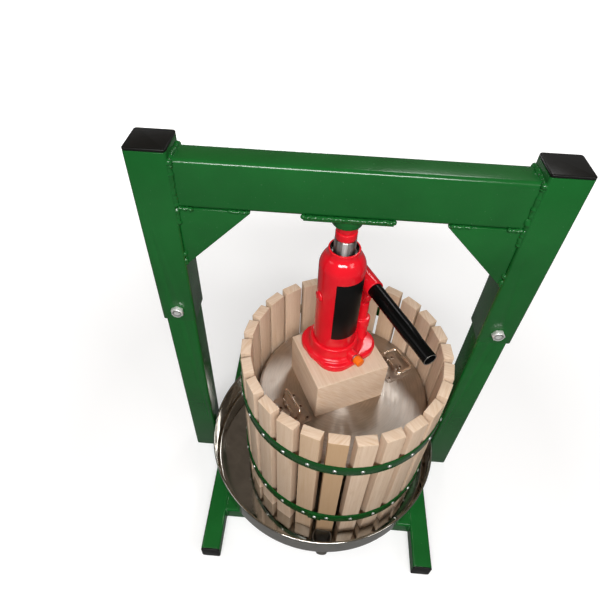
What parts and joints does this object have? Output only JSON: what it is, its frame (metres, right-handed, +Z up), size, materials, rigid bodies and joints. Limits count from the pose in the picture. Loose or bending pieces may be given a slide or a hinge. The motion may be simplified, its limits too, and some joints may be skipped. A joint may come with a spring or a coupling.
{
  "type": "hydraulic wine press",
  "caption": "Free-standing fruit press: bolted steel frame, wooden stave basket in a steel tray with a spout, and a bottle jack that pushes a round plate down through a wooden block.",
  "frame": {"origin": "on the floor, midway between the two posts and midway along the feet", "axes": "+Z up, +X to the right as seen from the side that the lever and the spout face, +Y away from that side"},
  "size_m": [0.52, 0.471, 0.67],
  "materials": {
    "green_paint": "glossy powder coat",
    "black_plastic": "moulded, slightly glossy",
    "zinc": "bright zinc plate",
    "stainless": "brushed stainless steel",
    "nickel": "nickel plate",
    "beech": "bare planed beech",
    "red_paint": "glossy enamel",
    "bright_steel": "ground steel",
    "seal_rubber": "plain",
    "black_paint": "glossy black",
    "orange_plastic": "moulded"
  },
  "bodies": {
    "frame": {"top_beam": "green_paint", "left_sleeve": "green_paint", "right_sleeve": "green_paint", "sleeve_caps": "black_plastic", "front_gussets": "green_paint", "rear_gussets": "green_paint", "pad_plate": "green_paint", "thrust_boss": "green_paint", "left_lower_post": "green_paint", "right_lower_post": "green_paint", "frame_bolts": "zinc", "frame_washers": "zinc", "frame_nuts": "zinc", "base_beam": "green_paint", "left_front_foot": "green_paint", "right_front_foot": "green_paint", "left_rear_foot": "green_paint", "right_rear_foot": "green_paint", "front_cross_tube": "green_paint", "rear_cross_tube": "green_paint", "foot_caps": "black_plastic", "tray_pan": "stainless", "outlet_spout": "stainless"},
    "basket": {"staves": "beech", "lower_hoop": "green_paint", "upper_hoop": "green_paint", "hoop_screws": "zinc"},
    "press": {"press_plate": "stainless", "left_handle_base": "nickel", "right_handle_base": "nickel", "handle_rivets": "nickel", "press_block": "beech", "jack_base": "red_paint", "jack_reservoir": "red_paint", "jack_cylinder": "bright_steel", "ram_gland": "bright_steel", "valve_balls": "bright_steel", "pump_cylinder": "red_paint", "fulcrum_bracket": "red_paint", "fulcrum_pin": "red_paint"},
    "ram": {"ram": "bright_steel", "ram_seal": "seal_rubber"},
    "saddle": {"extension_screw": "red_paint"},
    "lever": {"lever_socket": "red_paint", "plunger_pin": "red_paint"},
    "plunger": {"pump_plunger": "bright_steel"},
    "rod": {"handle_rod": "black_paint"},
    "release": {"release_valve": "zinc", "release_knob": "orange_plastic"},
    "plug": {"filler_plug": "red_paint"},
    "right_bail": {"right_bail": "nickel"},
    "left_bail": {"left_bail": "nickel"}
  },
  "joints": [
    {"name": "press_stroke", "type": "slide", "parent": "frame", "child": "press", "axis": [0, 0, -1], "range_m": [0, 0.075]},
    {"name": "ram_extend", "type": "slide", "parent": "press", "child": "ram", "axis": [0, 0, 1], "range_m": [0, 0.075]},
    {"name": "saddle_turn", "type": "hinge", "parent": "ram", "child": "saddle", "pos_m": [0.001, 0.002, 0.56], "axis": [0, 0, 1], "range_deg": [-180, 180]},
    {"name": "pump_lever", "type": "hinge", "parent": "press", "child": "lever", "pos_m": [0.03123, 0.04648, 0.4265], "axis": [-0.8746, -0.4848, 0], "range_deg": [0, 40]},
    {"name": "plunger_stroke", "type": "slide", "parent": "press", "child": "plunger", "axis": [0, 0, 1], "range_m": [0, 0.0175]},
    {"name": "rod_pull", "type": "slide", "parent": "lever", "child": "rod", "axis": [0.4847, -0.8745, -0.0175], "range_m": [0, 0.045]},
    {"name": "release_turn", "type": "hinge", "parent": "press", "child": "release", "pos_m": [0.00406, 0.00457, 0.339], "axis": [0.6428, -0.766, 0], "range_deg": [0, 270]},
    {"name": "plug_pull", "type": "slide", "parent": "press", "child": "plug", "axis": [-0.866, -0.5, 0], "range_m": [0, 0.008]},
    {"name": "right_bail_fold", "type": "hinge", "parent": "press", "child": "right_bail", "pos_m": [0.11004, 0.03425, 0.2448], "axis": [0.5446, -0.8387, 0], "range_deg": [0, 100]},
    {"name": "left_bail_fold", "type": "hinge", "parent": "press", "child": "left_bail", "pos_m": [-0.06104, -0.07685, 0.2448], "axis": [0.5446, -0.8387, 0], "range_deg": [0, 100]},
    {"name": "basket_lift", "type": "slide", "parent": "frame", "child": "basket", "axis": [0, 0, 1], "range_m": [0, 0.08]}
  ],
  "couplings": [
    {"joint": "ram_extend", "follows": "press_stroke", "ratio": 1},
    {"joint": "plunger_stroke", "follows": "pump_lever", "m_per_rad": 0.024494}
  ]
}
